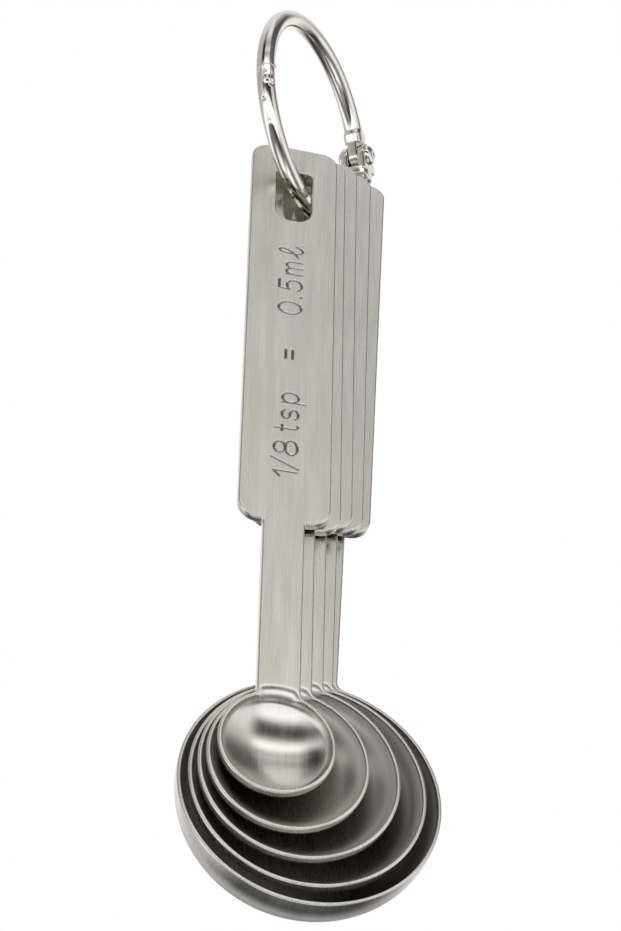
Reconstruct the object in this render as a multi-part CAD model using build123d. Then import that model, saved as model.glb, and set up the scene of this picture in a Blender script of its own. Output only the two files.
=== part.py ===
from build123d import *
import os
from math import acos, asin, atan2, cos, degrees, pi, radians, sin, sqrt, tan

# A nested set of five stamped stainless measuring spoons on a hinged snap ring.
# Millimetres. +Z runs up the handles to the ring, the bowls open towards -Y, and X is across the handles.
# The origin is the point inside the top of the ring that a hook bears on, and the set hangs below it.

# Every spoon: one flat blank, alike on all five but for the bowl and for the first handle, which is shorter
sheet = 1.7
handle_width = 15.8
handle_lengths = [86.4, 87.6, 87.6, 87.6, 87.6]
handle_top_radius = 2.8
neck_width = 7.1
# From the middle of the slot down to where the neck meets the rim
arm = 109.3
# The rounding of the shoulder takes all of the step from neck to handle but this flat and the inner rounding
shoulder_flat = 0.15
shoulder_inner_radius = 0.5
rim_corner_radius = 1.6
edge_radius = 0.3

# The slot that takes the ring, measured down from the top edge of the handle
slot_drop = 12.0
slot_length = 12.1
# Free play on each side of the wire; the first spoon's slot is the tightest
slot_side_plays = [0.45, 0.65, 0.65, 0.65, 0.65]
slot_top_radius = 1.0
slot_bottom_radius = 2.8

# Bowls, from the smallest to the largest: outer radii and inner depths
spoon_names = [
    "spoon_eighth_teaspoon",
    "spoon_quarter_teaspoon",
    "spoon_half_teaspoon",
    "spoon_one_teaspoon",
    "spoon_one_tablespoon",
]
bowl_radii = [9.5, 13.1, 16.35, 19.25, 21.5]
bowl_depths = [3.88, 4.07, 5.13, 7.2, 16.0]
rim_wall = 0.6
rim_thickness = 0.8
bowl_floor = 0.7
# The bowl starts this far inside the edge of the flat rim
rim_ledge = 0.12
# A bowl's section has one round at the rim and a larger one in the middle. The round at the rim has this
# many times the radius that an ellipse of the same size has there.
bowl_fullness = 1.15

# How the spoons lie in each other: clear of the next neck, leaning a little, with the slots spread along
# the ring by these parts of its radius
nest_gap = 0.25
slot_spread = [0.0, 0.0699, 0.1184, 0.2027, 0.2875]
lean_angles = [0.0, 0.05, 0.33, 1.08, 2.21]
# Where the wire crosses each slot, sideways from its middle and up from its middle
wire_sideways = [0.3, 0.52, 0.02, -0.41, -0.52]
wire_heights = [3.32, 0.85, -1.37, -1.54, 0.1]

# Ring: round wire bent to a circle, standing askew to the handles
ring_radius = 19.65
wire_diameter = 3.4
ring_skew = 38.4
ring_lean = -4.0
# From the front of the first handle back to the middle of the ring
ring_depth = 2.97

# Hinge of the ring, a tongue between two ears on a rivet
hinge_angle = 21.0
knuckle_reach = 3.0
ear_radius = 2.35
ear_thickness = 1.4
tongue_radius = 2.1
tongue_thickness = 1.9
tongue_side_gap = 0.1
shoulder_block = 1.6
rivet_radius = 0.9
rivet_running_gap = 0.05
rivet_head_radius = 1.95
rivet_head_height = 1.1

# Snap of the ring: the upper tip laps outside the lower one
snap_angle = 195.0
lap_length = 3.0
lap_slope = 0.4
seam_gap = 0.08

# One overrun serves every cut
overrun = 1.0

wire_radius = wire_diameter / 2
shoulder_radius = (handle_width - neck_width) / 2 - shoulder_inner_radius - shoulder_flat
slot_widths = [
    wire_diameter / cos(radians(ring_skew)) + sheet * tan(radians(ring_skew)) + 2 * play for play in slot_side_plays
]

# Ring axes: along the ring plane to the back, the ring's own axis, and up in the ring plane
skew = radians(ring_skew)
lean = radians(ring_lean)
ring_back = Vector(sin(skew), cos(skew), 0)
ring_axis = Vector(cos(skew) * cos(lean), -sin(skew) * cos(lean), sin(lean))
ring_up = ring_axis.cross(ring_back)
# The origin lies inside the top of the ring
ring_centre = ring_up * (wire_radius - ring_radius)
ring_place = Plane(origin=ring_centre, x_dir=ring_back, z_dir=ring_axis).location
front_face = ring_centre.Y - ring_depth


def wire_crossing(depth):
    """The point of the wire's centre line, below the ring's middle, that lies at a depth in Y."""
    along = ring_radius * ring_back.Y
    rise = ring_radius * ring_up.Y
    phase = atan2(rise, along)
    angle = phase - acos((depth - ring_centre.Y) / sqrt(along**2 + rise**2))
    return ring_centre + ring_back * (ring_radius * cos(angle)) + ring_up * (ring_radius * sin(angle))


def spoon_place(number):
    """Where a spoon's own frame goes: its slot is threaded on the wire and its neck lies on the next neck."""
    spread = slot_spread[number] * ring_radius
    tilt = degrees(asin(spread / arm))
    front = front_face + number * (sheet + nest_gap) + spread
    crossing = wire_crossing(front + sheet / 2)
    middle = Pos(crossing.X - wire_sideways[number], front, crossing.Z - wire_heights[number])
    return middle * Rot(-tilt, 0, 0) * Rot(0, lean_angles[number], 0)


def rim_centre(radius):
    """How far the middle of a bowl lies below its slot: the rim crosses the sides of the neck at its end."""
    return arm + sqrt(radius**2 - (neck_width / 2) ** 2)


def bowl_solid(radius, depth):
    """The hollow of a bowl, behind the plane of the rim and about the Y axis."""
    side = bowl_fullness * depth**2 / radius
    ball = (radius**2 - 2 * radius * side + depth**2) / (2 * (depth - side))
    # The rounds meet on the line through their two middles
    turn = degrees(atan2(ball - depth, radius - side))
    wall = CenterArc((radius - side, 0), side, 0, turn)
    base = CenterArc((0, depth - ball), ball, turn, 90 - turn)
    return revolve(make_face([wall, base, Line(base @ 1, (0, 0)), Line((0, 0), wall @ 0)]), Axis.Y)


def strip_outline(number):
    """Handle and neck, seen from the front with the slot's middle at the origin."""
    length = handle_lengths[number]
    shoulder = slot_drop - length
    handle = Pos(0, slot_drop - length / 2) * Rectangle(handle_width, length)
    handle = fillet(handle.vertices().group_by(Axis.Y)[-1], handle_top_radius)
    handle = fillet(handle.vertices().group_by(Axis.Y)[0], shoulder_radius)
    drop = rim_centre(bowl_radii[number])
    neck = Pos(0, (shoulder - drop) / 2) * Rectangle(neck_width, shoulder + drop)
    outline = handle + neck
    at_shoulder = [
        v
        for v in outline.vertices()
        if abs(v.Y - shoulder) < shoulder_inner_radius / 2 and abs(v.X) < (neck_width + shoulder_inner_radius) / 2
    ]
    return fillet(at_shoulder, shoulder_inner_radius)


def blank_outline(number):
    """The strip and the rim in one outline."""
    radius = bowl_radii[number]
    outline = strip_outline(number) + Pos(0, -rim_centre(radius)) * Circle(radius)
    near_rim = [v for v in outline.vertices() if abs(v.Y + arm) < rim_corner_radius / 2]
    return fillet(near_rim, rim_corner_radius)


def slot_outline(number):
    slot = Rectangle(slot_widths[number], slot_length)
    slot = fillet(slot.vertices().group_by(Axis.Y)[-1], slot_top_radius)
    return fillet(slot.vertices().group_by(Axis.Y)[0], slot_bottom_radius)


def spoon(number):
    """One stamped spoon in its own frame: slot at the origin, front face at Y zero, bowl sunk towards +Y."""
    radius = bowl_radii[number]
    depth = bowl_depths[number]
    front = Plane(origin=(0, 0, 0), x_dir=(1, 0, 0), z_dir=(0, -1, 0))
    blank = extrude(front * blank_outline(number), -rim_thickness) + extrude(front * strip_outline(number), -sheet)
    blank -= extrude(front * slot_outline(number), sheet + overrun, both=True)
    for level in (0, sheet):
        blank = fillet(blank.edges().filter_by_position(Axis.Y, level, level), edge_radius)
    at_rim = Pos(0, 0, -rim_centre(radius))
    # The outside starts behind the rounded edge of the rim
    outside = Pos(0, edge_radius, 0) * bowl_solid(radius - rim_ledge, depth + bowl_floor - edge_radius)
    return blank + at_rim * outside - at_rim * bowl_solid(radius - rim_wall, depth)


def wire_arc(start, end):
    """A length of the round wire, in the ring's own frame, between two angles in degrees."""
    end_face = Rot(0, 0, start) * Pos(ring_radius, 0, 0) * Rot(90, 0, 0) * Circle(wire_radius)
    return revolve(end_face, Axis.Z, end - start)


# Degrees of the ring taken by a length along it
degrees_per_length = 180 / (pi * ring_radius)
knuckle_turn = knuckle_reach * degrees_per_length
lap_turn = (lap_length + overrun) * degrees_per_length
fork_gap = tongue_thickness + 2 * tongue_side_gap
fork_width = fork_gap + 2 * ear_thickness
# At the hinge: X outwards, Y along the wire towards the upper half, Z along the rivet
at_hinge = Rot(0, 0, hinge_angle) * Pos(ring_radius, 0, 0)
# At the snap: X outwards, Y along the wire towards the lower half
at_snap = Rot(0, 0, snap_angle) * Pos(ring_radius, 0, 0)


def seam_side(lower):
    """Everything on one side of the stepped seam of the snap, reaching over half of the gap."""
    reach = 2 * wire_diameter
    step = lap_length / 2
    shift = -seam_gap / 2 if lower else seam_gap / 2
    far = reach if lower else -reach
    corners = [
        (reach, step + shift),
        (lap_slope / 2, step + shift),
        (-lap_slope / 2, -step + shift),
        (-reach, -step + shift),
        (-reach, far),
        (reach, far),
    ]
    return at_snap * extrude(Pos(-shift, 0) * make_face(Polyline(*corners, close=True)), wire_diameter, both=True)


def rivet_hole(radius):
    return at_hinge * Cylinder(radius, fork_width + overrun)


def lower_half():
    """Lower half of the ring: wire, the fork of the hinge and the inner tip of the snap."""
    wire = wire_arc(snap_angle - lap_turn, 360 + hinge_angle - knuckle_turn)
    block = Pos(0, -knuckle_reach - shoulder_block / 2) * Box(2 * ear_radius, shoulder_block, fork_width)
    fork = block
    for side in (-1, 1):
        level = side * (fork_gap + ear_thickness) / 2
        fork += Pos(0, 0, level) * Cylinder(ear_radius, ear_thickness)
        fork += Pos(0, -knuckle_reach / 2, level) * Box(2 * ear_radius, knuckle_reach, ear_thickness)
    return wire + at_hinge * fork - rivet_hole(rivet_radius) - seam_side(lower=False)


def upper_half():
    """Upper half of the ring: wire, the tongue of the hinge and the outer tip of the snap."""
    wire = wire_arc(hinge_angle + knuckle_turn, snap_angle + lap_turn)
    tongue = Pos(0, knuckle_reach + shoulder_block / 2) * Box(2 * tongue_radius, shoulder_block, wire_diameter)
    tongue += Cylinder(tongue_radius, tongue_thickness)
    tongue += Pos(0, knuckle_reach / 2) * Box(2 * tongue_radius, knuckle_reach, tongue_thickness)
    bore = rivet_hole(rivet_radius + rivet_running_gap)
    return wire + at_hinge * tongue - bore - seam_side(lower=True)


def rivet():
    """Rivet with a domed head on each ear."""
    # The dome is the cap of a ball whose radius follows from the head's width and height
    ball = (rivet_head_radius**2 + rivet_head_height**2) / (2 * rivet_head_height)
    shank = Cylinder(rivet_radius, fork_width)
    dome = Pos(0, 0, rivet_head_height - ball) * Sphere(ball)
    dome &= Pos(0, 0, rivet_head_height / 2) * Cylinder(rivet_head_radius, rivet_head_height)
    head = Pos(0, 0, fork_width / 2) * dome
    return at_hinge * (shank + head + mirror(head, Plane.XY))


os.makedirs("parts", exist_ok=True)
pieces = {name: spoon_place(number) * spoon(number) for number, name in enumerate(spoon_names)}
pieces["ring_lower_half"] = ring_place * lower_half()
pieces["ring_upper_half"] = ring_place * upper_half()
pieces["hinge_rivet"] = ring_place * rivet()
for name, piece in pieces.items():
    export_step(piece, f"parts/{name}.step")
for number, name in enumerate(spoon_names):
    hollow = bowl_solid(bowl_radii[number] - rim_wall, bowl_depths[number])
    print(f"{name} holds {hollow.volume / 1000:.2f} ml")
for name, point in (
    ("ring centre", ring_centre),
    ("rivet centre", (ring_place * at_hinge).position),
    ("snap centre", (ring_place * at_snap).position),
    ("ring axis", ring_axis),
):
    print(name, [round(value, 3) for value in point])
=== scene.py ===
import math

import bpy
import numpy as np
from mathutils import Matrix, Vector
from mathutils.geometry import delaunay_2d_cdt


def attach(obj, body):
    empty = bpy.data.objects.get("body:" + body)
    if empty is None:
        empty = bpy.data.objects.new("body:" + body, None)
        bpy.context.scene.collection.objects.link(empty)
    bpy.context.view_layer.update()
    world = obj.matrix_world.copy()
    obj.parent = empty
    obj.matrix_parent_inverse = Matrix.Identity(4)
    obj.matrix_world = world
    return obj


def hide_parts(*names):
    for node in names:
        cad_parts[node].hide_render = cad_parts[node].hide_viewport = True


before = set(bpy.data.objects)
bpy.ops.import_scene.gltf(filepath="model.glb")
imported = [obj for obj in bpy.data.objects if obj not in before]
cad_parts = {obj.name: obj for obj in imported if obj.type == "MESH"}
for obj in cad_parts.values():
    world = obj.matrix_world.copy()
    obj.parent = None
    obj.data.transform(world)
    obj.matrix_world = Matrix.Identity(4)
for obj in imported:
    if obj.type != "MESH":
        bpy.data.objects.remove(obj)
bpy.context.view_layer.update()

# Nested measuring spoons on a snap ring. Lengths are in millimetres until a mesh is made, then metres.
mm = 0.001
tau = 2 * math.pi


# Ring axes and the lie of the spoons

ringShape = {
    "radius": 19.65,       # of the wire's centre line
    "wire": 3.4,           # wire diameter
    "slack": 0.006,        # the drawn wire is thinner by this all round
    "blockFade": 1.1,      # over this much the wire swells to the block
    "squareness": 1.6,     # of the block's section, 0 is an ellipse
    "snapFade": 6.0,       # over this much the steps along the wire follow the parting
    "capHeight": 0.22,     # of the rounded ends
    "capShrink": 0.14,
    "plateEdge": 0.28,     # rounding of ears and tongue
    "plateFoot": 0.4,      # how far they run into the block
    "skew": 38.4,          # degrees from the handles' normal
    "lean": -4.0,          # degrees
    "depth": 2.97,         # front of the first handle to the ring's middle
    "hinge": 21.0,         # degrees round the ring from straight back
    "snap": 195.0,
    "knuckle": 3.0,        # rivet to the shoulder block, along the wire
    "block": 1.6,          # length of the shoulder block
    "ear": 2.35,           # radius of the ears round the rivet
    "earThickness": 1.4,
    "tongue": 2.1,         # radius of the tongue round the rivet
    "tongueThickness": 1.9,
    "tongueGap": 0.1,      # on each side of the tongue
    "rivet": 0.9,          # radius of the shank
    "head": 1.95,          # radius of the rivet's heads
    "headHeight": 1.1,
    "dimple": 0.16,        # in the middle of a head
    "dimpleShare": 0.22,   # of the head's radius
    "headCurl": 0.12,      # the rolled edge turns in by this
    "headSink": 0.05,      # how far the heads reach into the ears
    "seam": 0.2,           # gap between the tips of the snap
}

skew, lean = math.radians(ringShape["skew"]), math.radians(ringShape["lean"])
ringBack = np.array([math.sin(skew), math.cos(skew), 0.0])
ringAxis = np.array([math.cos(skew) * math.cos(lean), -math.sin(skew) * math.cos(lean), math.sin(lean)])
ringUp = np.cross(ringAxis, ringBack)
# the origin is inside the top of the ring
ringCentre = ringUp * (ringShape["wire"] / 2 - ringShape["radius"])
frontFace = ringCentre[1] - ringShape["depth"]

spoonShape = {
    "sheet": 1.7,
    "handleWidth": 15.8,
    "arm": 109.3,          # middle of the slot to the end of the neck
    "topRadius": 2.8,
    "topArch": 0.3,        # the top edge is bowed up by this
    "shoulderFlat": 0.15,
    "shoulderInner": 0.5,
    "neckWidth": 7.1,
    "rimFillet": 1.6,
    "edge": 0.3,           # rounding of the sheet's edges
    "sag": 0.55,           # how much wider it is under the shoulders
    "slotDrop": 12.0,      # top edge to the slot's middle
    "slotLength": 12.1,
    "slotTopRadius": 1.0,
    "slotBottomRadius": 2.8,
    "rimWall": 0.6,
    "rimThickness": 0.95,  # of the straight wall outside the rim
    "bowlFloor": 0.7,
    "lip": 0.16,           # rounding of the inner edge of the rim
    "bend": 2.6,           # rounding where the neck turns down into the bowl
    "fullness": 1.15,      # the round at the rim against that of an ellipse
    "nestGap": 0.25,
    "bendEnds": 1.07,      # where the bend ends, in half widths of the neck
    "bendFades": 0.45,     # over this much it turns into the lip
    "bendShare": 0.75,     # of the bend's size that is reached
    "rimFade": 0.9,        # mm beyond the rim over which the sheet's back edge grows
    "cornerFill": 0.9,     # of the corner between the neck's back and the bowl
    "cornerReach": 2.5,
    "neckStub": 3.0,       # how much of the neck is meshed with the bowl
}
wireInSlot = ringShape["wire"] / math.cos(skew) + spoonShape["sheet"] * math.tan(skew)

# inside a bowl and outside it, near the rim and further in: how much painted shade, and added
# roughness
frostedRim = {"hollowShade": (0.0, 1.0), "rough": (0.4, 0.0)}

# From the smallest to the largest: outer rim radius, inside depth, handle length, spread along the ring,
# lean, where the wire crosses the slot, the slot's play on each side of the wire, the measure marks, and,
# at the rim and further in, the painted shade on the bowl and its added roughness
spoonRows = [
    {"name": "eighth", "node": "spoon_eighth_teaspoon", "body": "eighth_teaspoon",
     "radius": 9.5, "depth": 3.88, "handle": 86.4, "spread": 0.0, "lean": 0.0, "sideways": 0.3,
     "height": 3.32,
     "play": 0.45, "mark": ["1/8", "tsp", "=", "0.5ml"], "hollowShade": (0.1, 0.15), "rough": (0.05, -0.07)},
    {"name": "quarter", "node": "spoon_quarter_teaspoon", "body": "quarter_teaspoon",
     "radius": 13.1, "depth": 4.07, "handle": 87.6, "spread": 0.0699, "lean": 0.05, "sideways": 0.52,
     "height": 0.85,
     "play": 0.65, "mark": ["1/4", "tsp", "=", "1ml"], **frostedRim},
    {"name": "half", "node": "spoon_half_teaspoon", "body": "half_teaspoon",
     "radius": 16.35, "depth": 5.13, "handle": 87.6, "spread": 0.1184, "lean": 0.33, "sideways": 0.02,
     "height": -1.37,
     "play": 0.65, "mark": ["1/2", "tsp", "=", "2.5ml"], **frostedRim},
    {"name": "teaspoon", "node": "spoon_one_teaspoon", "body": "teaspoon",
     "radius": 19.25, "depth": 7.2, "handle": 87.6, "spread": 0.2027, "lean": 1.08, "sideways": -0.41,
     "height": -1.54,
     "play": 0.65, "mark": ["1", "tsp", "=", "5ml"], **frostedRim},
    {"name": "tablespoon", "node": "spoon_one_tablespoon", "body": "tablespoon",
     "radius": 21.46, "depth": 15.96, "handle": 87.6, "spread": 0.2875, "lean": 2.21, "sideways": -0.52,
     "height": 0.1,
     "play": 0.65, "mark": ["1", "tbsp", "=", "15ml"], "hollowShade": (0.0, 0.8), "rough": (0.4, 0.03)},
]


def slotPlace(number):
    # matrix from a spoon's own millimetres, slot at the origin, to the frame's: thread the slot on the
    # wire, then lean about Y and tilt about X
    row = spoonRows[number]
    spread = row["spread"] * ringShape["radius"]
    tilt = math.asin(spread / spoonShape["arm"])
    front = frontFace + number * (spoonShape["sheet"] + spoonShape["nestGap"]) + spread
    along, rise = ringShape["radius"] * ringBack[1], ringShape["radius"] * ringUp[1]
    reach = (front + spoonShape["sheet"] / 2 - ringCentre[1]) / math.hypot(along, rise)
    angle = math.atan2(rise, along) - math.acos(reach)
    wire = ringCentre + ringShape["radius"] * (math.cos(angle) * ringBack + math.sin(angle) * ringUp)
    middle = Vector((wire[0] - row["sideways"], front, wire[2] - row["height"]))
    return np.array(Matrix.Translation(middle) @ Matrix.Rotation(-tilt, 4, "X")
                    @ Matrix.Rotation(math.radians(row["lean"]), 4, "Y"))


# Mesh helpers

# points are welded on a grid of this step in mm, shifted so that round values stay off its borders
weld = {"step": 2e-4, "shift": 0.317}

def gridFaces(rows, columns, closed, flip=False):
    # quads of a grid of rows by columns; closed joins the last column to the first
    width = columns if closed else columns - 1
    r, c = np.meshgrid(np.arange(rows - 1), np.arange(width), indexing="ij")
    n = (c + 1) % columns
    here, below = r * columns, (r + 1) * columns
    faces = np.stack([here + c, here + n, below + n, below + c], -1).reshape(-1, 4)
    return faces[:, ::-1] if flip else faces


def gridPatch(points, closed=False, flip=False):
    rows, columns = points.shape[:2]
    return points.reshape(-1, 3), gridFaces(rows, columns, closed, flip)


def flatPatch(loops, height, flip):
    # fills the flat region between closed loops of (x, z) points at a depth y
    points = np.concatenate(loops)
    edges, start = [], 0
    for loop in loops:
        index = np.arange(len(loop)) + start
        edges += np.stack([index, np.roll(index, -1)], -1).tolist()
        start += len(loop)
    verts, _, faces, origin, _, _ = delaunay_2d_cdt([Vector(p) for p in points.tolist()], edges, [], 0,
                                                    1e-7)
    flat = np.array([v[:] for v in verts])
    for k, came in enumerate(origin):
        if came:
            flat[k] = points[came[0]]
    corners = np.array([(f[0], f[1], f[2], f[2]) for f in faces])
    # a triangle belongs to the region if a line from its middle crosses the loops an odd number of times
    middle = flat[corners[:, :3]].mean(1)
    inside = np.zeros(len(middle), bool)
    for i, j in edges:
        p, q = points[i], points[j]
        spans = (p[1] > middle[:, 1]) != (q[1] > middle[:, 1])
        at = p[0] + (middle[:, 1] - p[1]) * (q[0] - p[0]) / (q[1] - p[1] if q[1] != p[1] else 1.0)
        inside ^= spans & (middle[:, 0] < at)
    corners = corners[inside]
    a, b, c = (flat[corners[:, k]] for k in range(3))
    turn = (b[:, 0] - a[:, 0]) * (c[:, 1] - a[:, 1]) - (b[:, 1] - a[:, 1]) * (c[:, 0] - a[:, 0])
    swap = (turn > 0) == flip
    corners[swap] = corners[swap][:, [0, 2, 1, 1]]
    out = np.insert(flat, 1, height, axis=1)
    return out, corners


def makeMesh(name, patches, place=None, marks=None):
    # welds the patches, drops faces with no area, and gives area-weighted normals, so flats stay flat
    points = np.concatenate([p for p, _ in patches])
    starts = np.cumsum([0] + [len(p) for p, _ in patches[:-1]])
    faces = np.concatenate([f + s for (_, f), s in zip(patches, starts)])
    key = np.floor(points / weld["step"] + weld["shift"]).astype(np.int64)
    _, first, inverse = np.unique(key, axis=0, return_index=True, return_inverse=True)
    points, faces = points[first], inverse.reshape(-1)[faces]
    same = faces == np.roll(faces, -1, axis=1)
    twice = (faces[:, 0] == faces[:, 2]) | (faces[:, 1] == faces[:, 3])
    quads = faces[(same.sum(1) == 0) & ~twice]
    rest, at = faces[same.sum(1) == 1], np.argmax(same[same.sum(1) == 1], axis=1)
    tris = np.stack([rest[np.arange(len(rest)), (at + k) % 4] for k in (1, 2, 3)], -1)
    tris = tris[(tris[:, 0] != tris[:, 1]) & (tris[:, 1] != tris[:, 2]) & (tris[:, 0] != tris[:, 2])]
    own = points.copy()
    if place is not None:
        points = points @ place[:3, :3].T + place[:3, 3]
    points = points * mm
    normals = np.zeros_like(points)
    for group in (quads, tris):
        a, b, c, d = (points[group[:, k]] for k in (0, 1, 2, group.shape[1] - 1))
        weight = np.cross(c - a, d - b) if group.shape[1] == 4 else np.cross(b - a, c - a)
        for k in range(group.shape[1]):
            np.add.at(normals, group[:, k], weight)
    normals /= np.maximum(np.linalg.norm(normals, axis=1, keepdims=True), 1e-20)
    mesh = bpy.data.meshes.new(name)
    mesh.vertices.add(len(points))
    mesh.vertices.foreach_set("co", points.astype(np.float32).ravel())
    loops = np.concatenate([quads.ravel(), tris.ravel()])
    totals = np.concatenate([np.full(len(quads), 4), np.full(len(tris), 3)])
    mesh.loops.add(len(loops))
    mesh.loops.foreach_set("vertex_index", loops.astype(np.int32))
    mesh.polygons.add(len(totals))
    mesh.polygons.foreach_set("loop_start", np.concatenate([[0], np.cumsum(totals)[:-1]]).astype(np.int32))
    mesh.update(calc_edges=True)
    mesh.validate()
    mesh.shade_smooth()
    mesh.normals_split_custom_set_from_vertices(normals.astype(np.float32))
    layer = mesh.attributes.new("grain", "FLOAT_VECTOR", "POINT")
    layer.data.foreach_set("vector", (own * mm).astype(np.float32).ravel())
    for key, values in (marks or {}).items():
        layer = mesh.attributes.new(key, "FLOAT", "POINT")
        layer.data.foreach_set("value", values(own).astype(np.float32))
    piece = bpy.data.objects.new(name, mesh)
    bpy.context.scene.collection.objects.link(piece)
    return piece


# Spoons

def arc(centre, radius, start, end, count):
    # points of a circular arc and the directions out from its centre; angles in degrees from +x
    angle = np.radians(np.linspace(start, end, count))
    out = np.stack([np.cos(angle), np.sin(angle)], -1)
    return np.array(centre) + radius * out, out


def straight(a, b, normal, count):
    t = np.linspace(0, 1, count)[:, None]
    return np.array(a) * (1 - t) + np.array(b) * t, np.tile(np.array(normal, float), (count, 1))


def joinRuns(runs):
    # one list of points and outward normals, leaving out a point that repeats the one before it
    points = np.concatenate([p for p, _ in runs])
    normals = np.concatenate([n for _, n in runs])
    keep = np.concatenate([[True], np.linalg.norm(np.diff(points, axis=0), axis=1) > 1e-6])
    return points[keep], normals[keep]


def halfOutline(s, radius, length):
    # right half of the blank, clockwise from the middle of the top edge to the bottom of the rim
    hw, hn, rt = s["handleWidth"] / 2, s["neckWidth"] / 2, s["topRadius"]
    ri, rf = s["shoulderInner"], s["rimFillet"]
    rs = hw - hn - ri - s["shoulderFlat"]
    top = s["slotDrop"]
    shoulder = top - length
    drop = s["arm"] + math.sqrt(radius ** 2 - hn ** 2)
    filletZ = math.sqrt((radius + rf) ** 2 - (hn + rf) ** 2) - drop
    filletTurn = math.degrees(math.atan2(hn + rf, filletZ + drop))
    inner, innerOut = arc((hn + ri, shoulder - ri), ri, 90, 180, 7)
    fillet, filletOut = arc((hn + rf, filletZ), rf, 180, 270 - filletTurn, 9)
    handle = joinRuns([
        straight((0, top), (hw - rt, top), (0, 1), 12),
        arc((hw - rt, top - rt), rt, 90, 0, 13),
        straight((hw, top - rt), (hw, shoulder + rs), (1, 0), 12),
        arc((hw - rs, shoulder + rs), rs, 0, -90, 15),
        (inner, -innerOut),
        straight((hn, shoulder - ri), (hn, filletZ + s["neckStub"]), (1, 0), 8),
    ])
    bowl = joinRuns([
        straight((hn, filletZ + s["neckStub"]), (hn, filletZ), (1, 0), 5),
        (fillet, -filletOut),
        arc((0, -drop), radius, 90 - filletTurn, -90, 80),
    ])
    arch = np.clip((handle[0][:, 1] - top + rt) / rt, 0, 1) * s["topArch"] * (handle[0][:, 0] / hw) ** 2
    handle[0][:, 1] -= arch
    return handle, bowl, drop, filletZ


def slotLoop(s, play):
    # counter-clockwise from the bottom left corner
    w, h, rt, rb = wireInSlot / 2 + play, s["slotLength"] / 2, s["slotTopRadius"], s["slotBottomRadius"]
    points, out = joinRuns([
        arc((-w + rb, -h + rb), rb, 180, 270, 11), arc((w - rb, -h + rb), rb, 270, 360, 11),
        arc((w - rt, h - rt), rt, 0, 90, 8), arc((-w + rt, h - rt), rt, 90, 180, 8)])
    return points, out


def bowlRounds(s, radius, depth):
    # small round at the rim, large ball in the middle, and the angle at which they meet
    side = s["fullness"] * depth ** 2 / radius
    ball = (radius ** 2 - 2 * radius * side + depth ** 2) / (2 * (depth - side))
    return side, ball, math.atan2(ball - depth, radius - side)


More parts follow.
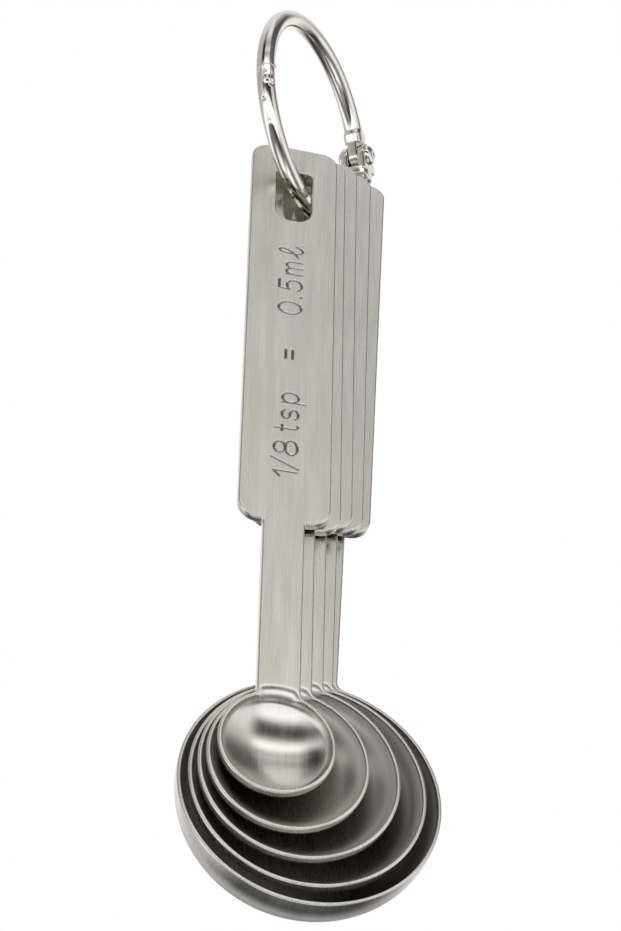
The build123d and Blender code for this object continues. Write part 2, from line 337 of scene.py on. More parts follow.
def spoonPatches(number):
    s, row = spoonShape, spoonRows[number]
    radius, depth, edge, sheet = row["radius"], row["depth"], s["edge"], s["sheet"]
    handle, bowl, drop, filletZ = halfOutline(s, radius, row["handle"])
    centre = np.array([0.0, -drop])
    patches = []

    def mirrored(run, skip):
        points, normals = run[0][::-1][skip:], run[1][::-1][skip:]
        return points * [-1, 1], normals * [-1, 1]

    # the whole outline, clockwise seen from the front, split into handle and bowl parts
    right, left = joinRuns([handle]), mirrored(handle, 0)
    bowlPoints, bowlOut = joinRuns([bowl, mirrored(bowl, 0)])
    points = np.concatenate([right[0], bowlPoints[1:-1], left[0][:-1]])
    outward = np.concatenate([right[1], bowlOut[1:-1], left[1][:-1]])
    # how much of the sheet's own back edge there is: all along the neck, none along the rim
    fromCentre = np.linalg.norm(points - centre, axis=1) - radius
    share = np.clip(fromCentre / s["rimFade"], 0, 1)
    share = share * share * (3 - 2 * share)
    turn = np.radians(np.linspace(0, 90, 7))[:, None]
    # rounded edge: a quarter circle in front, the thickness of the sheet, a quarter circle at the back
    edge = edge * (1 + s["sag"] * np.clip(-outward[:, 1], 0, 1) * share)
    inset = np.concatenate([edge * (1 - np.sin(turn)), edge * share * (1 - np.cos(turn))])
    backY = s["rimThickness"] + (sheet - s["rimThickness"]) * share
    level = np.concatenate([edge * (1 - np.cos(turn)), backY - edge * share * (1 - np.sin(turn))])
    strip = points[None] - outward[None] * inset[:, :, None]
    strip = np.stack([strip[:, :, 0], level, strip[:, :, 1]], -1)
    patches.append(gridPatch(strip, closed=True))

    # slot, its wall rounded the same way
    hole, holeOut = slotLoop(s, row["play"])
    edge = s["edge"]
    inset = np.concatenate([edge * (1 - np.sin(turn)), edge * (1 - np.cos(turn))])
    level = np.concatenate([edge * (1 - np.cos(turn)), sheet - edge * (1 - np.sin(turn))])
    wall = hole[None] + holeOut[None] * inset[:, :, None]
    wall = np.stack([wall[:, :, 0], np.broadcast_to(level, wall.shape[:2]), wall[:, :, 1]], -1)
    patches.append(gridPatch(wall, closed=True))

    # hollow of the bowl, in rings from its edge to its middle. Its section is a rounded lip, a small round
    # of radius side at the wall, and part of a large ball. The lip grows to a wide bend where the neck
    # comes in. The middle of the lip lies at its own radius behind the front, and at side + lip from the
    # middle of the small round.
    inner = radius - s["rimWall"]
    side, ball, meet = bowlRounds(s, inner, depth)
    spin = np.linspace(0, tau, 193)[:-1]
    turned = np.minimum(spin, tau - spin) / math.asin(s["neckWidth"] / 2 / inner)
    wide = np.clip((s["bendEnds"] - turned) / s["bendFades"], 0, 1)
    wide = wide * wide * (3 - 2 * wide)
    reachOut = math.sqrt(side ** 2 + 2 * side * s["lip"]) - side
    reachOut = reachOut + (s["bend"] - reachOut) * s["bendShare"] * wide
    lip = ((side + reachOut) ** 2 - side ** 2) / (2 * side)
    meets = np.arcsin(lip / (side + lip))
    meets = np.minimum(meets, meet * 0.98)
    lipTurn = np.linspace(0, 1, 12)[:, None] * (math.pi / 2 - meets)
    lipReach = inner + reachOut - lip * np.sin(lipTurn)
    lipSink = lip * (1 - np.cos(lipTurn))
    wallTurn = meets + (meet - meets) * np.linspace(0, 1, 12)[1:, None]
    wallReach = inner - side + side * np.cos(wallTurn)
    wallSink = side * np.sin(wallTurn)
    baseTurn = meet + (math.pi / 2 - meet) * np.linspace(0, 1, 34)[1:, None] + 0 * spin
    baseReach = ball * np.cos(baseTurn)
    baseSink = depth - ball + ball * np.sin(baseTurn)
    reach = np.concatenate([lipReach, wallReach, baseReach])
    sink = np.concatenate([lipSink, wallSink, baseSink])
    hollow = np.stack([reach * np.sin(spin), sink, -drop + reach * np.cos(spin)], -1)
    patches.append(gridPatch(hollow, closed=True, flip=True))

    # flat front, with the marks worked in a fine grid of its own
    front = strip[0][:, [0, 2]]
    loops = [front, wall[0][:, [0, 2]], hollow[0][:, [0, 2]]]
    markPoints, markFrame = markPatch(row["mark"])
    patches.append(markPoints)
    loops.append(markFrame)
    patches.append(flatPatch(loops, 0.0, flip=False))

    # flat back of handle and neck, down to a cut across the neck
    split = len(right[0])
    back = strip[-1][:, [0, 2]]
    cutCount = 13
    cutLine = np.linspace(back[split - 1], back[split + len(bowlPoints) - 2], cutCount)
    backLoop = np.concatenate([back[:split], cutLine[1:-1], back[split + len(bowlPoints) - 2:]])
    patches.append(flatPatch([backLoop, wall[-1][:, [0, 2]]], sheet, flip=True))

    # back of the bowl: rays from its middle to the edge, the higher of the sheet's back and half an
    # ellipsoid, with the corner between them filled out
    rim = np.concatenate([back[split - 1:split + len(bowlPoints) - 1], cutLine[1:-1][::-1]])
    rimLevel = np.concatenate([backY[split - 1:split + len(bowlPoints) - 1], np.full(cutCount - 2, sheet)])
    rimShare = np.concatenate([share[split - 1:split + len(bowlPoints) - 1], np.ones(cutCount - 2)])
    ray = rim - centre
    far = np.linalg.norm(ray, axis=1)
    ray = ray / far[:, None]
    sweep = np.radians(np.linspace(90, 0, 46))[:, None]
    onNeck = radius + (far - radius) * np.linspace(1, 0, 9)[:-1, None]
    out = np.concatenate([onNeck, radius * np.sin(sweep) + 0 * far])
    low = s["rimThickness"]
    side, ball, meet = bowlRounds(s, radius, depth + s["bowlFloor"] - low)
    onWall = np.sqrt(np.clip(side ** 2 - (out - radius + side) ** 2, 0, None))
    onBase = depth + s["bowlFloor"] - low - ball + np.sqrt(np.clip(ball ** 2 - out ** 2, 0, None))
    bowlLevel = low + np.where(out > ball * math.cos(meet), np.where(out > radius, 0, onWall), onBase)
    soft = s["cornerFill"] * rimShare * np.clip((far - out) / s["cornerReach"], 0, 1)
    level = (bowlLevel + rimLevel + np.sqrt((bowlLevel - rimLevel) ** 2 + soft ** 2)) / 2
    shell = centre + ray[None] * out[:, :, None]
    shell = np.stack([shell[:, :, 0], level, shell[:, :, 1]], -1)
    patches.append(gridPatch(shell, closed=True))
    return patches


# Marks: plain measure marks in single strokes, cut into the front of each handle

markShape = {
    "height": 4.05,       # of a figure, across the handle
    "width": 2.6,         # of a figure, along the handle
    "gap": 1.25,
    "stroke": 0.27,       # half the width of a stroke at the surface
    "depth": 0.16,
    "cell": 0.1,          # of the grid that carries them
    "starts": [-65.0, -55.1, -38.9, -28.5],  # own z where each group starts
    "middle": -0.15,
    "end": -7.5,          # own z that no mark passes
    "margin": 0.6,        # of the grid round the marks
}


def bend(cx, cy, rx, ry, start, end, count=10):
    angle = np.radians(np.linspace(start, end, count))
    return np.stack([cx + rx * np.cos(angle), cy + ry * np.sin(angle)], -1)


# each figure is a list of strokes in a box of width 1 and height 1, its foot at 0
figures = {
    "0": (1.08, [bend(0.54, 0.5, 0.54, 0.5, 0, 360, 24)]),
    "1": (0.55, [np.array([(0.0, 0.72), (0.45, 1.0), (0.45, 0.0)])]),
    "2": (1.0, [np.concatenate([bend(0.5, 0.7, 0.45, 0.3, 170, -30, 12), [(0.0, 0.0), (1.0, 0.0)]])]),
    "4": (1.0, [np.array([(0.75, 0.0), (0.75, 1.0), (0.0, 0.3), (1.0, 0.3)])]),
    "5": (1.0, [np.concatenate([[(0.9, 1.0), (0.15, 1.0), (0.08, 0.55)],
                                bend(0.45, 0.33, 0.48, 0.33, 110, -150, 14)])]),
    "8": (1.3, [bend(0.62, 0.76, 0.46, 0.24, 0, 360, 18), bend(0.62, 0.26, 0.6, 0.26, 0, 360, 20)]),
    "/": (0.3, [np.array([(-0.3, -0.06), (0.5, 1.1)])]),
    ".": (0.1, [np.array([(0.0, 0.02), (0.06, 0.02)])]),
    "=": (0.8, [np.array([(0.0, 0.32), (0.8, 0.32)]), np.array([(0.0, 0.62), (0.8, 0.62)])]),
    "t": (0.52, [np.concatenate([[(0.22, 0.98), (0.22, 0.2)], bend(0.42, 0.18, 0.2, 0.18, 180, 300, 7)]),
                 np.array([(0.0, 0.68), (0.52, 0.68)])]),
    "s": (0.92, [np.concatenate([bend(0.45, 0.53, 0.38, 0.17, 20, 270, 10),
                                 bend(0.45, 0.18, 0.4, 0.18, 90, -160, 10)])]),
    "p": (0.9, [np.array([(0.05, -0.3), (0.05, 0.7)]), bend(0.47, 0.35, 0.42, 0.35, 0, 360, 18)]),
    "b": (0.9, [np.array([(0.05, 0.0), (0.05, 1.0)]), bend(0.47, 0.35, 0.42, 0.35, 0, 360, 18)]),
    "m": (1.12, [np.array([(0.0, 0.0), (0.0, 0.7)]),
                 np.concatenate([bend(0.28, 0.45, 0.28, 0.25, 180, 0, 9), [(0.56, 0.0)]]),
                 np.concatenate([bend(0.84, 0.45, 0.28, 0.25, 180, 0, 9), [(1.12, 0.0)]])]),
    "l": (0.95, [np.array([(0.0, 0.2), (0.22, 0.3), (0.45, 0.48), (0.64, 0.7), (0.72, 0.88), (0.68, 1.0),
                           (0.58, 1.05), (0.46, 0.99),
                           (0.37, 0.84), (0.32, 0.6), (0.31, 0.32), (0.36, 0.1), (0.48, 0.0), (0.64, 0.0),
                           (0.8, 0.1), (0.95, 0.27)])]),
}


def markPatch(groups):
    # a grid over the marks, pushed in by how near each point is to a stroke; its frame is a loop for the
    # flat round it
    m = markShape
    strokes = []
    for text, at in zip(groups, m["starts"]):
        for letter in text:
            wide, lines = figures[letter]
            for line in lines:
                # the mark reads up the handle: its height runs across, from right to left
                across = m["middle"] + m["height"] * (0.5 - line[:, 1])
                strokes.append(np.stack([across, at + line[:, 0] * m["width"]], -1))
            at += wide * m["width"] + m["gap"]
    a = np.concatenate([line[:-1] for line in strokes])
    b = np.concatenate([line[1:] for line in strokes])
    low = np.minimum(a, b).min(0) - m["margin"]
    high = np.maximum(a, b).max(0) + m["margin"]
    count = np.ceil((high - low) / m["cell"]).astype(int) + 1
    x, z = np.linspace(low[0], high[0], count[0]), np.linspace(low[1], high[1], count[1])
    grid = np.stack(np.meshgrid(x, z, indexing="xy"), -1)
    near = np.full(grid.shape[:2], 9.0)
    for start, end in zip(a, b):
        run = end - start
        t = np.clip(((grid - start) @ run) / max(run @ run, 1e-9), 0, 1)
        near = np.minimum(near, np.linalg.norm(grid - start - t[..., None] * run, axis=-1))
    dip = np.clip(1 - near / m["stroke"], 0, 1)
    dip = m["depth"] * dip * dip * (3 - 2 * dip)
    points = np.stack([grid[..., 0], dip, grid[..., 1]], -1)
    frameLoop = np.concatenate([grid[0, :-1], grid[:-1, -1], grid[-1, :0:-1], grid[:0:-1, 0]])
    return gridPatch(points), frameLoop


def inMark(points):
    # 1 at the bottom of a mark's stroke, 0 on the plain sheet; the mask of the painted shade in the strokes
    x, y, z = points.T
    near = (np.abs(x) < markShape["height"]) & (z > markShape["starts"][0] - 1) & (z < markShape["end"])
    return np.where(near & (y < markShape["depth"] * 1.01), np.clip(y / markShape["depth"], 0, 1), 0)


def bowlLook(row, atRim, inside):
    # a value for the drawn bowl, inside and outside, used for its painted shade and its added roughness:
    # atRim near the rim, inside further in, 0 on the flat sheet
    halfNeck = spoonShape["neckWidth"] / 2
    middle = spoonShape["arm"] + math.sqrt(row["radius"] ** 2 - halfNeck ** 2)

    def value(points):
        x, y, z = points.T
        fromRim = row["radius"] - np.hypot(x, z + middle)
        inBowl = np.clip(fromRim / 0.7, 0, 1) * np.clip((y - 0.1) / 0.3, 0, 1)
        near = np.clip(1 - (fromRim - 0.6) / 3.0, 0, 1)
        return inBowl * (inside + (atRim - inside) * near * near)
    return value


spoons = []
for number, row in enumerate(spoonRows):
    # attributes: depth in the marks' strokes, which masks their painted shade, the painted shade on the
    # bowl, and the bowl's added roughness
    marks = {"sunk": inMark, "hollowShade": bowlLook(row, *row["hollowShade"]), "rough": bowlLook(row, *row["rough"])}
    piece = makeMesh("spoon-" + row["name"], spoonPatches(number), slotPlace(number), marks)
    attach(piece, row["body"])
    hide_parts(row["node"])
    spoons.append(piece)
    print("spoon", row["name"], len(piece.data.vertices), "points")


# Ring: two bent halves, a tongue between two ears on a rivet, and a snap whose tips hook into each other

wireRadius = ringShape["wire"] / 2 - ringShape["slack"]
hingeTurn, snapTurn = math.radians(ringShape["hinge"]), math.radians(ringShape["snap"])
# bumps and dents of the snap: millimetres along the wire from the snap, degrees round the wire from
# outwards, size along and round in millimetres, and height
snapMarks = [
    (1.55, 33, 0.5, 0.5, 0.36),
    (1.3, 66, 0.9, 0.22, -0.3),
    (2.4, 55, 0.3, 0.4, -0.2),
    (-1.5, 99, 0.35, 0.5, 0.34),
    (5.0, -2, 0.3, 0.3, -0.24),
    (9.6, 8, 0.25, 0.5, 0.1),
]


def onRing(turn, out, across):
    # points at an angle round the ring, so far outwards from the wire's middle and so far along the ring's
    # axis
    away = np.cos(turn)[..., None] * ringBack + np.sin(turn)[..., None] * ringUp
    return ringCentre + (ringShape["radius"] + out)[..., None] * away + across[..., None] * ringAxis


# the parting of the snap, in millimetres along the wire and across it
parting = {"start": -1.3, "length": 2.4, "from": 0.9, "width": 2.6, "hook": 1.8}


def seamAt(across):
    # where the parting of the snap runs, along the wire: a hooked diagonal
    p = parting
    return p["start"] + p["length"] * np.clip((p["from"] - across) / p["width"], 0, 1) ** p["hook"]


def wirePatch(start, end, snapEnd, wide):
    # the wire from one angle to another, round at the snap's end and swelling to a block at the hinge's
    # end; wide is the block's half size outwards and along the axis
    length = abs(end - start) * ringShape["radius"]
    # finer steps near both ends
    step = np.concatenate([np.linspace(0, 9, 91), np.linspace(9, length - 7, 90)[1:-1],
                           np.linspace(length - 7, length, 60)])
    if not snapEnd:
        step = length - step[::-1]
    spin = np.linspace(0, tau, 97)[:-1]
    cos, sin = np.cos(spin), np.sin(spin)
    fromHinge = (length - step if snapEnd else step)[:, None]
    swell = np.clip(1 - (fromHinge - ringShape["block"]) / ringShape["blockFade"], 0, 1)
    swell = swell * swell * (3 - 2 * swell)
    power = 2 + ringShape["squareness"] * swell
    unit = (np.abs(cos) ** power + np.abs(sin) ** power) ** (-1 / power)
    out = (wireRadius + (wide[0] - wireRadius) * swell) * cos * unit
    across = (wireRadius + (wide[1] - wireRadius) * swell) * sin * unit
    along = step[:, None] + 0 * spin
    sign = 1 if end > start else -1
    turn = start + sign * along / ringShape["radius"]
    # the snap's end follows the parting
    fromSnap = (along if snapEnd else length - along)
    blend = np.clip(1 - fromSnap / ringShape["snapFade"], 0, 1)
    shift = seamAt(across) + (0.5 if snapEnd == (sign > 0) else -0.5) * ringShape["seam"]
    turn = turn + blend * shift / ringShape["radius"]
    place = (turn - snapTurn) * ringShape["radius"]
    lump = 0
    for at, angle, longSize, roundSize, height in snapMarks:
        off = (spin - math.radians(angle) + math.pi) % tau - math.pi
        lump = lump + height * np.exp(-((place - at) / longSize) ** 2 - (off * wireRadius / roundSize) ** 2)
    out, across = out + lump * cos, across + lump * sin
    body = onRing(turn, out, across)
    # rounded caps: shrink towards the middle of the section
    caps = []
    tall = ringShape["capHeight"] / ringShape["radius"]
    for row, ahead in ((0, -sign), (-1, sign)):
        rings = []
        for k in (30, 60, 90):
            a = math.radians(k)
            shrink = 1 - ringShape["capShrink"] * (1 - math.cos(a))
            rings.append(onRing(turn[row] + ahead * tall * math.sin(a), out[row] * shrink,
                                across[row] * shrink))
        for shrink in (0.6, 0.3, 0.0):
            mean = turn[row].mean()
            rings.append(onRing(mean + (turn[row] - mean) * shrink + ahead * tall,
                                out[row] * shrink, across[row] * shrink))
        caps.append(np.stack(rings))
    points = np.concatenate([caps[0][::-1], body, caps[1]])
    return gridPatch(points, closed=True, flip=sign > 0)


def platePatch(outline, low, high, edge):
    # a plate with rounded edges in the hinge's own frame: outline in (outwards, along the wire), low to
    # high along the axis; the outline is convex and goes round its middle
    middle = outline.mean(0)
    rim = outline - middle
    size = np.linalg.norm(rim, axis=1, keepdims=True)
    rows = []
    turn = np.radians(np.linspace(0, 90, 5))
    for a in turn:
        rows.append((rim * (1 - edge * (1 - math.sin(a)) / size), low + edge * (1 - math.cos(a))))
    for a in turn[::-1]:
        rows.append((rim * (1 - edge * (1 - math.sin(a)) / size), high - edge * (1 - math.cos(a))))
    rows = [(rim * 0, low), (rim * 0.5, low)] + rows + [(rim * 0.5, high), (rim * 0, high)]
    flat = np.stack([r + middle for r, _ in rows])
    level = np.array([y for _, y in rows])[:, None] + 0 * flat[:, :, 0]
    return flat, level


def atHinge(flat, level):
    # from the hinge's own frame to the frame
    out = math.cos(hingeTurn) * ringBack + math.sin(hingeTurn) * ringUp
    along = -math.sin(hingeTurn) * ringBack + math.cos(hingeTurn) * ringUp
    centre = ringCentre + ringShape["radius"] * out
    return centre + flat[..., 0:1] * out + flat[..., 1:2] * along + level[..., None] * ringAxis


def earOutline(radius, reach):
    # a round end about the rivet and a straight foot at reach along the wire
    sign = 1 if reach > 0 else -1
    turn = np.radians(np.linspace(0, 180, 31))
    end = np.stack([radius * np.cos(turn), -sign * radius * np.sin(turn)], -1)
    sides = np.linspace(0, 1, 9)[1:]
    left = np.stack([-radius + 0 * sides, reach * sides], -1)
    foot = np.stack([np.linspace(-radius, radius, 9)[1:-1], np.full(7, reach)], -1)
    right = np.stack([radius + 0 * sides, reach * (1 - sides)], -1)[:-1]
    right = np.concatenate([[[radius, reach]], right])
    return np.concatenate([end, left, foot, right])


def lathePatch(profile, sides=72):
    # turns a profile of (radius, level) about the rivet's axis
    spin = np.linspace(0, tau, sides + 1)[:-1]
    flat = np.stack([profile[:, 0:1] * np.cos(spin), profile[:, 0:1] * np.sin(spin)], -1)
    return gridPatch(atHinge(flat, profile[:, 1:2] + 0 * spin), closed=True, flip=True)


def ringPatches(lower):
    r = ringShape
    knuckle = r["knuckle"] / r["radius"]
    forkGap = r["tongueThickness"] + 2 * r["tongueGap"]
    forkHalf = forkGap / 2 + r["earThickness"]
    if lower:
        patches = [wirePatch(snapTurn, tau + hingeTurn - knuckle, True, (r["ear"], forkHalf))]
        outline = earOutline(r["ear"], -r["knuckle"] - r["plateFoot"])
        plates = [(outline, forkGap / 2, forkHalf), (outline, -forkHalf, -forkGap / 2)]
    else:
        patches = [wirePatch(hingeTurn + knuckle, snapTurn, False, (r["tongue"], wireRadius))]
        outline = earOutline(r["tongue"], r["knuckle"] + r["plateFoot"])
        plates = [(outline, -r["tongueThickness"] / 2, r["tongueThickness"] / 2)]
    for outline, low, high in plates:
        flat, level = platePatch(outline, low, high, r["plateEdge"])
        patches.append(gridPatch(atHinge(flat, level), closed=True, flip=not lower))
    return patches


def rivetPatches():
    # shank and two domed heads in one turned shape; each head has a rolled edge and a shallow dimple
    r = ringShape
    seat = r["tongueThickness"] / 2 + r["tongueGap"] + r["earThickness"]
    t = np.linspace(0, 1, 26)
    dip = r["dimple"] * np.exp(-(t / r["dimpleShare"]) ** 2)
    dome = np.stack([r["head"] * np.sin(t * math.pi / 2),
                     r["headHeight"] * np.cos(t * math.pi / 2) ** 0.9 - dip], -1)
    foot = [[r["head"] - r["headCurl"], -r["headSink"]], [r["rivet"], -r["headSink"]]]
    head = np.concatenate([dome, foot]) + [0, seat]
    return [lathePatch(np.concatenate([head, head[::-1] * [1, -1]]))]


ringPieces = [
    ("ring-upper", "ring_top", "ring_upper_half", "ring_metal", ringPatches(False)),
    ("ring-lower", "ring_bottom", "ring_lower_half", "ring_metal", ringPatches(True)),
    ("hinge-rivet", "ring_bottom", "hinge_rivet", "rivet_metal", rivetPatches()),
]
metals = []
for name, body, node, slotName, patches in ringPieces:
    piece = makeMesh(name, patches)
    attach(piece, body)
    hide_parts(node)
    metals.append(piece)
print("ring done")


# Materials

def linear(code):
    # sRGB hex to linear colour
    parts = [int(code[k:k + 2], 16) / 255 for k in (1, 3, 5)]
    return tuple(v / 12.92 if v <= 0.04045 else ((v + 0.055) / 1.055) ** 2.4 for v in parts) + (1.0,)


def addNode(tree, kind, settings=None, inputs=None):
    # adds a node, sets its properties, and gives each input a value or a link
    node = tree.nodes.new(kind)
    for key, value in (settings or {}).items():
        setattr(node, key, value)
    for key, value in (inputs or {}).items():
        if isinstance(value, bpy.types.NodeSocket):
            tree.links.new(value, node.inputs[key])
        else:
            node.inputs[key].default_value = value
    return node


def newMaterial(name):
    material = bpy.data.materials.new(name)
    material.use_nodes = True
    material.node_tree.nodes.clear()
    return material, material.node_tree


steelLook = {
    "pale": "#DEDAD2",
    "dark": "#C9C5BD",
    # painted shade for the strokes of the marks
    "strokeShade": "#66625E",
    "inBowl": "#A39E97",    # painted shade inside and behind the bowls
    "roughness": 0.27,     # of the brushed flats
    "speck": 0.45,         # mm, size of the frosted grain
    "lineGap": 0.22,       # mm between brush lines, drawn coarser than real so that they show
    "lineLength": 14.0,    # mm
}


def brushedSteel():
    # stainless steel sheet, belt-brushed along the handle: fine lines that smear the reflections across
    # them
    material, tree = newMaterial("brushed-stainless-steel")
    look = steelLook
    grain = addNode(tree, "ShaderNodeAttribute", {"attribute_name": "grain"})
    size = (1 / (look["lineGap"] * mm), 1 / (3 * mm), 1 / (look["lineLength"] * mm))
    stretch = addNode(tree, "ShaderNodeMapping", {}, {"Vector": grain.outputs["Vector"], "Scale": size})
    lines = addNode(tree, "ShaderNodeTexNoise", {},
                    {"Vector": stretch.outputs["Vector"], "Scale": 1.0, "Detail": 3.0})
    wide = addNode(tree, "ShaderNodeMapping", {}, {"Vector": grain.outputs["Vector"],
                   "Scale": (1 / (2.6 * mm), 1 / (9 * mm), 1 / (22 * mm))})
    cloud = addNode(tree, "ShaderNodeTexNoise", {},
                    {"Vector": wide.outputs["Vector"], "Scale": 1.0, "Detail": 2.0})
    mixed = addNode(tree, "ShaderNodeMath", {"operation": "ADD"},
                    {0: lines.outputs["Fac"], 1: cloud.outputs["Fac"]})
    tone = addNode(tree, "ShaderNodeMapRange", {},
                   {"Value": mixed.outputs["Value"], "From Min": 0.6, "From Max": 1.4})
    ramp = addNode(tree, "ShaderNodeMix", {"data_type": "RGBA"},
                   {"Factor": tone.outputs["Result"], "A": linear(look["dark"]), "B": linear(look["pale"])})
    # painted shade on the bowls, darker further in from the rim, and a fine frosted grain
    hollowShade = addNode(tree, "ShaderNodeAttribute", {"attribute_name": "hollowShade"})
    change = addNode(tree, "ShaderNodeAttribute", {"attribute_name": "rough"})
    ramp = addNode(tree, "ShaderNodeMix", {"data_type": "RGBA"},
                   {"Factor": hollowShade.outputs["Fac"], "A": ramp.outputs["Result"], "B": linear(look["inBowl"])})
    frost = addNode(tree, "ShaderNodeTexNoise", {},
                    {"Vector": grain.outputs["Vector"], "Scale": 1 / (look["speck"] * mm),
                    "Detail": 2.0})
    # painted shade in the strokes of the marks
    sunk = addNode(tree, "ShaderNodeAttribute", {"attribute_name": "sunk"})
    ramp = addNode(tree, "ShaderNodeMix", {"data_type": "RGBA"},
                   {"Factor": sunk.outputs["Fac"], "A": ramp.outputs["Result"], "B": linear(look["strokeShade"])})
    rough = addNode(tree, "ShaderNodeMapRange", {},
                    {"Value": mixed.outputs["Value"], "From Min": 0.6, "From Max": 1.4,
                    "To Min": look["roughness"] - 0.05, "To Max": look["roughness"] + 0.05})
    rough = addNode(tree, "ShaderNodeMath", {"operation": "ADD"},
                    {0: rough.outputs["Result"], 1: change.outputs["Fac"]})
    frosted = addNode(tree, "ShaderNodeMapRange", {},
                      {"Value": change.outputs["Fac"], "From Min": 0.0, "From Max": 0.2})
    # frosted steel scatters some light from all sides
    metal = addNode(tree, "ShaderNodeMapRange", {},
                    {"Value": change.outputs["Fac"], "From Min": 0.05, "From Max": 0.4,
                    "To Min": 1.0, "To Max": 0.72})
    relief = addNode(tree, "ShaderNodeMix", {"data_type": "FLOAT"},
                     {"Factor": frosted.outputs["Result"], "A": lines.outputs["Fac"],
                      "B": frost.outputs["Fac"]})
    bump = addNode(tree, "ShaderNodeBump", {},
                   {"Height": relief.outputs["Result"], "Strength": 0.08, "Distance": 0.05 * mm})
    shader = addNode(tree, "ShaderNodeBsdfPrincipled", {}, {
        "Base Color": ramp.outputs["Result"], "Metallic": metal.outputs["Result"],
                                                            "Roughness": rough.outputs["Value"],
        "Normal": bump.outputs["Normal"]})
    addNode(tree, "ShaderNodeOutputMaterial", {}, {"Surface": shader.outputs["BSDF"]})
    return material


def nickelPlate():
    # bright nickel plate on bent wire: a mirror with faint pits, slightly warm
    material, tree = newMaterial("bright-nickel-plate")
    place = addNode(tree, "ShaderNodeTexCoord")
    cloud = addNode(tree, "ShaderNodeTexNoise", {},
                    {"Vector": place.outputs["Object"], "Scale": 1 / (1.2 * mm), "Detail": 3.0})
    tint = addNode(tree, "ShaderNodeMix", {"data_type": "RGBA"},
                   {"Factor": cloud.outputs["Fac"], "A": linear("#D6CFC6"), "B": linear("#E4DFD8")})
    rough = addNode(tree, "ShaderNodeMapRange", {},
                    {"Value": cloud.outputs["Fac"], "To Min": 0.05, "To Max": 0.13})
    bump = addNode(tree, "ShaderNodeBump", {},
                   {"Height": cloud.outputs["Fac"], "Strength": 0.05, "Distance": 0.05 * mm})
    shader = addNode(tree, "ShaderNodeBsdfPrincipled", {}, {
        "Base Color": tint.outputs["Result"], "Metallic": 1.0, "Roughness": rough.outputs["Result"],
        "Normal": bump.outputs["Normal"]})
    addNode(tree, "ShaderNodeOutputMaterial", {}, {"Surface": shader.outputs["BSDF"]})
    return material


steel, nickel = brushedSteel(), nickelPlate()
for piece in spoons:
    piece.data.materials.append(steel)
for piece in metals:
    piece.data.materials.append(nickel)
print("materials done")


# Studio

studio = {
    "floorDrop": 470.0,    # mm below the hook
    "floorSize": 3.0,      # m
    "floor": "#F2F2F0",
    "room": 0.85,          # light on what isn't metal
}

# What metal sees round it, by the height of a direction from -1 straight down to 1 straight up. Towards the
# front and near it on the left: soft boxes with dark gaps between them. Further left, right and behind:
# pale walls, darker below.
roomFront = [(-1.0, 0.8), (-0.94, 0.45), (-0.84, 0.12), (-0.62, 0.06), (-0.57, 1.0), (-0.49, 2.0),
             (-0.41, 1.3), (-0.28, 2.0), (-0.15, 1.4), (-0.07, 0.12), (0.05, 0.03), (0.2, 0.05),
             (0.29, 0.9), (0.36, 2.0), (0.44, 2.0), (0.49, 1.1), (0.53, 0.62), (0.575, 0.55), (0.622, 0.94),
             (0.665, 0.72), (0.705, 0.48), (0.75, 0.62), (0.84, 1.0), (1.0, 1.0)]
roomNear = [(-1.0, 1.2), (-0.9, 0.7), (-0.8, 0.2), (-0.6, 0.2), (-0.5, 1.5), (-0.25, 1.6), (-0.1, 1.0),
            (0.0, 0.15), (0.14, 0.15), (0.25, 0.7), (0.36, 1.3), (0.43, 0.3), (0.48, 0.04), (0.7, 0.03),
            (0.85, 0.3), (1.0, 0.9)]
roomLeft = [(-1.0, 1.5), (-0.88, 1.3), (-0.78, 0.3), (-0.55, 0.3), (-0.43, 1.2), (-0.25, 1.6), (-0.12, 1.3),
            (0.0, 0.8), (0.15, 0.6), (0.4, 0.5), (0.55, 0.6), (0.75, 0.6), (1.0, 0.9)]
roomRight = [(-1.0, 1.5), (-0.88, 1.3), (-0.78, 0.3), (-0.5, 0.3), (-0.3, 0.9), (-0.1, 1.3), (0.1, 1.1),
             (0.35, 0.8), (0.5, 0.35), (0.6, 0.15), (0.8, 0.1), (0.92, 0.4), (1.0, 0.9)]
roomBack = [(-1.0, 1.1), (-0.88, 0.8), (-0.74, 0.15), (-0.3, 0.05), (-0.12, 0.2), (0.0, 0.5), (0.2, 0.8),
            (0.42, 1.1), (0.62, 1.1), (0.72, 0.8), (1.0, 0.9)]
groundTint = (0.94, 0.97, 1.0)

floorMesh = bpy.data.meshes.new("floor")
half, level = studio["floorSize"] / 2, -studio["floorDrop"] * mm
corners = [(-half, -half, level), (half, -half, level), (half, half, level), (-half, half, level)]
floorMesh.from_pydata(corners, [], [(0, 1, 2, 3)])
floor = bpy.data.objects.new("floor", floorMesh)
bpy.context.scene.collection.objects.link(floor)
paper, tree = newMaterial("matt-paper")
sheen = addNode(tree, "ShaderNodeBsdfPrincipled", {},
                {"Base Color": linear(studio["floor"]), "Roughness": 0.9})
addNode(tree, "ShaderNodeOutputMaterial", {}, {"Surface": sheen.outputs["BSDF"]})
floorMesh.materials.append(paper)
floor.visible_glossy = False

world = bpy.data.worlds.new("studio")
bpy.context.scene.world = world
world.use_nodes = True
tree = world.node_tree
tree.nodes.clear()


def heightRamp(stops, fac):
    # brightness by height, as a smooth ramp; its greys are halved to fit a ramp's range
    ramp = addNode(tree, "ShaderNodeValToRGB", {}, {"Fac": fac})
    ramp.color_ramp.interpolation = "EASE"
    elements = ramp.color_ramp.elements
    while len(elements) < len(stops):
        elements.new(0.5)
    for element, (height, grey) in zip(elements, stops):
        element.position = (height + 1) / 2
        tint = [grey / 2 * (c if height < 0 else 1) for c in groundTint]
        element.color = (*tint, 1.0)
    return ramp.outputs["Color"]


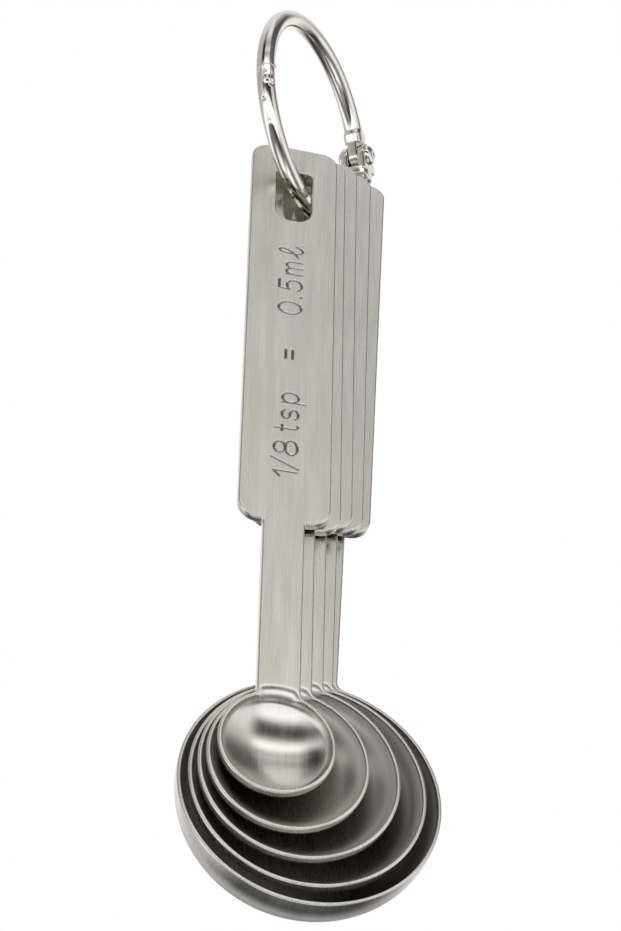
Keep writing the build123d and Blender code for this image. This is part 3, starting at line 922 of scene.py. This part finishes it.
look = addNode(tree, "ShaderNodeTexCoord")
split = addNode(tree, "ShaderNodeSeparateXYZ", {}, {"Vector": look.outputs["Generated"]})
height = addNode(tree, "ShaderNodeMapRange", {},
                 {"Value": split.outputs["Z"], "From Min": -1.0, "From Max": 1.0})
level = addNode(tree, "ShaderNodeCombineXYZ", {}, {"X": split.outputs["X"], "Y": split.outputs["Y"]})
heading = addNode(tree, "ShaderNodeVectorMath", {"operation": "NORMALIZE"}, {0: level.outputs["Vector"]})


def towards(azimuth, none, full):
    # how far a direction lies towards an azimuth: 1 within the angle full of it, 0 beyond the angle none,
    # in degrees
    turn = math.radians(azimuth)
    dot = addNode(tree, "ShaderNodeVectorMath", {"operation": "DOT_PRODUCT"},
                  {0: heading.outputs["Vector"], 1: (math.sin(turn), -math.cos(turn), 0.0)})
    share = addNode(tree, "ShaderNodeMapRange", {"interpolation_type": "SMOOTHSTEP"},
                    {"Value": dot.outputs["Value"], "From Min": math.cos(math.radians(none)),
                     "From Max": math.cos(math.radians(full))})
    return share.outputs["Result"]


colour = heightRamp(roomBack, height.outputs["Result"])
# each side with the azimuth that it lies towards, the angle from it where it ends and where it is full
roomSides = [(roomRight, 62, 50, 34), (roomLeft, -75, 82, 46), (roomNear, -34, 30, 14),
             (roomFront, 4, 38, 19)]
for stops, azimuth, none, full in roomSides:
    share = towards(azimuth, none, full)
    ramp = heightRamp(stops, height.outputs["Result"])
    mix = addNode(tree, "ShaderNodeMix", {"data_type": "RGBA"}, {"Factor": share, "A": colour, "B": ramp})
    colour = mix.outputs["Result"]
path = addNode(tree, "ShaderNodeLightPath")
# the background is white to the camera and through glass, and metal sees it with the room's soft bands
backdrop = addNode(tree, "ShaderNodeMix", {"data_type": "RGBA"},
                   {"Factor": path.outputs["Is Glossy Ray"], "A": (0.5, 0.5, 0.5, 1.0), "B": colour})
seen = addNode(tree, "ShaderNodeMath", {"operation": "ADD"},
               {0: path.outputs["Is Camera Ray"], 1: path.outputs["Is Glossy Ray"]})
seen = addNode(tree, "ShaderNodeMath", {"operation": "ADD", "use_clamp": True},
               {0: seen.outputs["Value"], 1: path.outputs["Is Transmission Ray"]})
white = addNode(tree, "ShaderNodeBackground", {}, {"Color": backdrop.outputs["Result"], "Strength": 2.0})
soft = addNode(tree, "ShaderNodeBackground", {}, {"Color": (1, 1, 1, 1), "Strength": studio["room"]})
mixWorld = addNode(tree, "ShaderNodeMixShader", {},
                   {0: seen.outputs["Value"], 1: soft.outputs["Background"],
                   2: white.outputs["Background"]})
addNode(tree, "ShaderNodeOutputWorld", {}, {"Surface": mixWorld.outputs["Shader"]})

lamps = [
    {"name": "key", "from": (-420, -520, -330), "size": 300, "power": 2.4},
    {"name": "fill", "from": (600, -500, 200), "size": 500, "power": 2.2},
]
aim = Vector((0.0, 0.0, -0.09))
for lamp in lamps:
    data = bpy.data.lights.new(lamp["name"], "AREA")
    data.size = lamp["size"] * mm
    data.energy = lamp["power"]
    light = bpy.data.objects.new(lamp["name"], data)
    light.location = Vector(lamp["from"]) * mm
    light.visible_glossy = False
    light.rotation_euler = (aim - light.location).to_track_quat("-Z", "Y").to_euler()
    bpy.context.scene.collection.objects.link(light)


# Camera

view = {
    "azimuth": -12.11,
    "elevation": -39.0,
    "roll": -1.41,
    "distance": 518.5,
    "target": (-0.48, -2.2, -102.27),
    "lens": 178.7,
}
turn, lift, roll = (math.radians(view[k]) for k in ("azimuth", "elevation", "roll"))
away = Vector((math.sin(turn) * math.cos(lift), -math.cos(turn) * math.cos(lift), math.sin(lift)))
side = Vector((math.cos(turn), math.sin(turn), 0.0))
over = away.cross(side)
rolledSide = side * math.cos(roll) - over * math.sin(roll)
rolledOver = side * math.sin(roll) + over * math.cos(roll)
camera = bpy.data.objects.new("camera", bpy.data.cameras.new("camera"))
camera.data.sensor_fit = "HORIZONTAL"
camera.data.sensor_width = 36.0
camera.data.lens = view["lens"]
camera.data.clip_end = 20.0
place = Matrix((rolledSide, rolledOver, away)).transposed().to_4x4()
place.translation = (Vector(view["target"]) + view["distance"] * away) * mm
camera.matrix_world = place
bpy.context.scene.collection.objects.link(camera)
bpy.context.scene.camera = camera
bpy.context.scene.view_settings.view_transform = "Standard"

print("scene ready")
